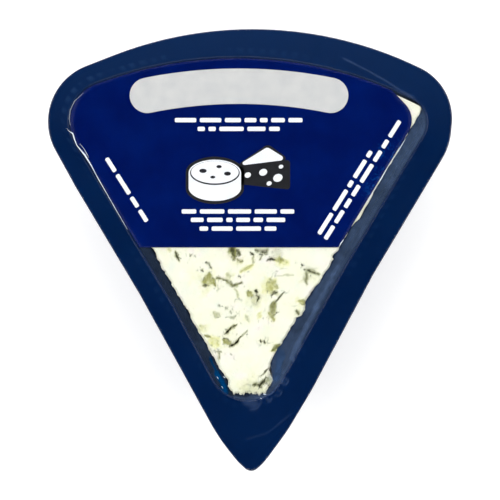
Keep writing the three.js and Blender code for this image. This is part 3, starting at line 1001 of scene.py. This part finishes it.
# Milky marks in the film: smears and creases at the tip, and painted highlights and painted light in the
# gaps and along the lip: half-width, strength, share of teal, path.
FILM_MARKS = [
    (2.4, 0.045, 0, [(-0.6, -43.4), (0.9, -44)]),
    (0.4, 0.05, 0, [(3.1, -42.3), (3.3, -43.6), (2.2, -45.1), (0.3, -45.8)]),
    (0.35, 0.13, 0, [(-4.6, -41.9), (-1.5, -42.4), (3.4, -42.2), (6.4, -40.9), (8.3, -38.2), (11.3, -32.6)]),
    (0.35, 0.08, 0, [(9.2, -37.9), (10.3, -38.5), (11.1, -37.7), (10.4, -36.8)]),
    (0.3, 0.07, 0, [(7.2, -41.5), (8.4, -41.8), (9.1, -40.8), (8, -39.9)]),
    (0.6, 0.05, 0, [(4.9, -42.4), (5.7, -43.4), (6.2, -42.4)]),
    (0.4, 0.02, 0, [(-1, -54), (5, -52.4), (11.5, -47)]),
    # painted highlight on the lip above the card's top right edge
    (0.4, 0.06, 0, [(27, 54.6), (33, 51.6), (38.2, 48.7), (43, 45.6), (47, 43.6)]),
    # painted light: the tray wall beside the tip and the cheese, teal as if lit through the film
    (0.5, 0.1, 1, [(-11.4, -30.8), (-9.6, -34.6)]),
    (1.1, 0.16, 1, [(-9.4, -35.2), (-8.4, -37), (-6.7, -40.4)]),
    (2.4, 0.14, 0.35, [(9, -29.5), (7.6, -36.6)]),
    # painted sheen of the film over the right gap, lighter towards its outer side
    (1.3, 0.16, 0, [(25, -4.8), (18.1, -18), (14.3, -25.5), (11.8, -31)]),
]
# painted sheen and light of the film across the gaps beside the cheese, left and right
GAP_PAINTED_SHEEN = {"left": 0.05, "right": 0.11}


def film_haze_and_sheen(x, y, card_line):
    """How milky the film is at each point, and how much painted sheen and light it carries."""
    in_mouth = inside_by(mouth_line, x, y)
    off_cheese = -inside_by(cheese_outline(), x, y)
    off_card = 1 - smooth(inside_by(card_line, x, y, CARD_CENTRE), -0.4, 0.2)
    side = np.where(x > 0, GAP_PAINTED_SHEEN["right"], GAP_PAINTED_SHEEN["left"])
    uneven = 0.85 + 0.4 * rough(x, y, 11, 221, 2)
    # painted sheen and fill light on the film over the gap, reaching to the cheese's edge over the shade
    # there
    gap = side * uneven * smooth(off_cheese, -0.5, 0.7) * smooth(in_mouth, -0.5, 0.6) * off_card
    haze_and_sheen, painted_teal_light = gap, np.zeros_like(gap)
    for half_width, strength, tint, path in FILM_MARKS:
        ragged = half_width * (1 + 0.6 * rough(x, y, 1.6, 225))
        mark = strength * (1 - smooth(distance_along(path, x, y)[0], 0.2 * ragged, ragged))
        painted_teal_light = np.where(mark > haze_and_sheen, tint, painted_teal_light)
        haze_and_sheen = np.maximum(haze_and_sheen, mark)
    return haze_and_sheen, painted_teal_light


def film(card_line):
    top = refine([ring(FLANGE, 0.12, 0), ring(MOUTH, -0.4, 0)], 0.5)
    top.extend(ring(MOUTH, step, 0) for step in np.arange(-0.1, 7.6, 0.35))
    top.extend(to_middle(top[-1], 2.0))
    vertices, faces = skin([*reversed(top), *top])
    x, y = vertices.T[:2]
    heights = film_height(x, y, card_line)
    is_low = np.arange(len(vertices)) < len(top) * SPOKES
    is_low[-2:] = (True, False)
    thickness = FILM_THICKNESS * (0.06 + 0.94 * smooth(inside_by(flange_line, x, y), 0.1, 2))
    vertices[:, 2] = heights - thickness * is_low
    piece = mesh_piece("film_sheet", vertices, faces, film_material(), "lid_film")
    paint(piece, "haze_and_sheen", film_haze_and_sheen(x, y, card_line))


# Raised folds along the lip, by the card and at the tip, painted white as glints: half-width at each point
# of the path.
GLINT_FOLDS = [
    [(-47.5, 44.9, 0.02), (-50.1, 42.5, 0.04), (-51.3, 40, 0.04), (-51.6, 37.4, 0.04), (-51.3, 35.6, 0.02)],
    [
        (-52.3, 34.7, 0.03), (-51.5, 33.8, 0.08), (-50.6, 33.3, 0.23), (-50.1, 31.6, 0.13),
        (-49.4, 29.8, 0.1), (-47.2, 27.2, 0.26), (-45.4, 24.3, 0.14), (-43.5, 20.7, 0.09),
        (-41, 16.3, 0.09), (-38.1, 11.2, 0.08), (-35, 5.9, 0.03),
    ],
    [(-48.6, 30.4, 0.02), (-47.2, 28.6, 0.08), (-46, 26.4, 0.02)],
    [(25.5, 0.9, 0.06), (26.0, 1.9, 0.16), (26.8, 3.0, 0.1)],
    [
        (44.5, 31.8, 0.05), (43.3, 29.8, 0.14), (41.9, 27.4, 0.06), (39.6, 24, 0.05), (38.4, 21.9, 0.12),
        (37.3, 19.9, 0.12), (36.3, 18.2, 0.05), (34.2, 14.9, 0.08), (33.2, 13.1, 0.05),
    ],
    [(-9.4, -36.2, 0.04), (-9.2, -36.5, 0.11), (-9, -36.9, 0.04)],
    [(-8.1, -38.9, 0.04), (-7.9, -39.2, 0.11), (-7.7, -39.6, 0.04)],
    [(-7.6, -36.1, 0.04), (-7.3, -36.4, 0.13), (-7, -36.6, 0.04)],
    [(3.8, -41.2, 0.06), (4.3, -41.3, 0.17), (4.7, -41.2, 0.06)],
    [(3, -42.2, 0.04), (3.2, -42.4, 0.1), (3.4, -42.6, 0.04)],
]
FOLD_HEIGHT = 0.05


def glint_fold(points, card_line):
    """A low ridge along a path, with the film's own height under it."""
    points = np.array(points)
    travelled = travel(points[:, :2])
    at = np.linspace(0, travelled[-1], max(9, int(travelled[-1] / 0.3)))
    x, y, half = (np.interp(at, travelled, points[:, k]) for k in range(3))
    half = half * (1 + 0.3 * rough(at, at * 0, 1.3, 231))
    away = unit(np.stack([-np.gradient(y), np.gradient(x)], axis=1))
    middle = np.column_stack([x, y, film_height(x, y, card_line)])
    side = at_height(away * half[:, None], 0)
    foot, crest = (0, 0, FILM_THICKNESS), (0, 0, FOLD_HEIGHT)
    return skin(list(np.stack([middle - side, middle - foot, middle + side, middle + crest], axis=1)))


def glint_folds(card_line):
    vertices, faces = joined([glint_fold(points, card_line) for points in GLINT_FOLDS])
    # painted glint: the ridges are coloured white where the film would reflect a lamp
    painted_glint = ink_and_glint_material("film_fold_glint", (236, 244, 252), (205, 222, 244), 0.35)
    mesh_piece("film_fold_glints", vertices, faces, painted_glint)


# ---- Camera, floor and light ----


CAMERA_DISTANCE = 1.3  # metres, as everything in this section
SHOWN_WIDTH = 0.14286  # of the flange's plane, across the picture
SENSOR_WIDTH = 36  # millimetres

# Soft boxes: name, place, size, watts.
LAMPS = [
    ("left_box", (-1.0, 0.1, 1.0), (1.2, 1.4), 13.4),
    ("right_box", (1.0, 0.1, 1.0), (1.2, 1.4), 11.9),
    ("far_box", (0, 1.1, 0.95), (1.4, 1.1), 11.3),
    ("near_box", (0, -1.1, 0.95), (1.4, 1.1), 7.2),
]


def camera():
    data = bpy.data.cameras.new("camera")
    data.sensor_width = SENSOR_WIDTH
    data.lens = SENSOR_WIDTH * CAMERA_DISTANCE / SHOWN_WIDTH
    data.clip_end = 20
    eye = bpy.data.objects.new("camera", data)
    eye.location = (0, 0, CAMERA_DISTANCE + FLANGE_TOP * MM)
    bpy.context.collection.objects.link(eye)
    bpy.context.scene.camera = eye


def lamp(name, location, size, power):
    data = bpy.data.lights.new(name, "AREA")
    data.shape = "RECTANGLE"
    data.size, data.size_y = size
    data.energy = power
    light = bpy.data.objects.new(name, data)
    light.location = location
    bpy.context.collection.objects.link(light)
    direction = Vector((0, 0, 0.02)) - light.location
    light.rotation_euler = direction.to_track_quat("-Z", "Y").to_euler()


def studio():
    scene = bpy.context.scene
    scene.view_settings.view_transform = "Standard"
    world = bpy.data.worlds.new("studio")
    world.use_nodes = True
    nodes, link = world.node_tree.nodes, world.node_tree.links.new
    # pale walls all round, and a dark ceiling, so that the flat film and card aren't washed out
    split = nodes.new("ShaderNodeSeparateXYZ")
    height = nodes.new("ShaderNodeMapRange")
    wall = nodes.new("ShaderNodeMixRGB")
    link(nodes.new("ShaderNodeTexCoord").outputs["Generated"], split.inputs[0])
    link(split.outputs["Z"], height.inputs["Value"])
    height.inputs["From Min"].default_value = 0.2
    height.inputs["From Max"].default_value = 0.5
    link(height.outputs[0], wall.inputs["Fac"])
    wall.inputs["Color1"].default_value = (0.8, 0.8, 0.8, 1)
    wall.inputs["Color2"].default_value = (0.008, 0.008, 0.009, 1)
    link(wall.outputs[0], nodes["Background"].inputs["Color"])
    scene.world = world
    for name, location, size, power in LAMPS:
        lamp(name, location, size, power)


def floor():
    shader = Shader("pale_floor")
    tone = shader.mix(shader.noise(60, detail=2), (0.86, 0.86, 0.86, 1), (0.9, 0.9, 0.9, 1))
    body = shader.add(
        "BsdfPrincipled", Base_Color=tone, Roughness=0.9,
        Emission_Color=(1, 1, 1, 1), Emission_Strength=0.35,
    )
    bpy.ops.mesh.primitive_plane_add(size=6, location=(0, 0, -0.0005))
    ground = bpy.context.object
    ground.name = "floor"
    ground.data.materials.append(shader.finish(body.outputs[0]))


camera()
studio()
floor()
tray()
cheese()
card_line = card_outline()
card(card_line)
prints()
film(card_line)
glint_folds(card_line)
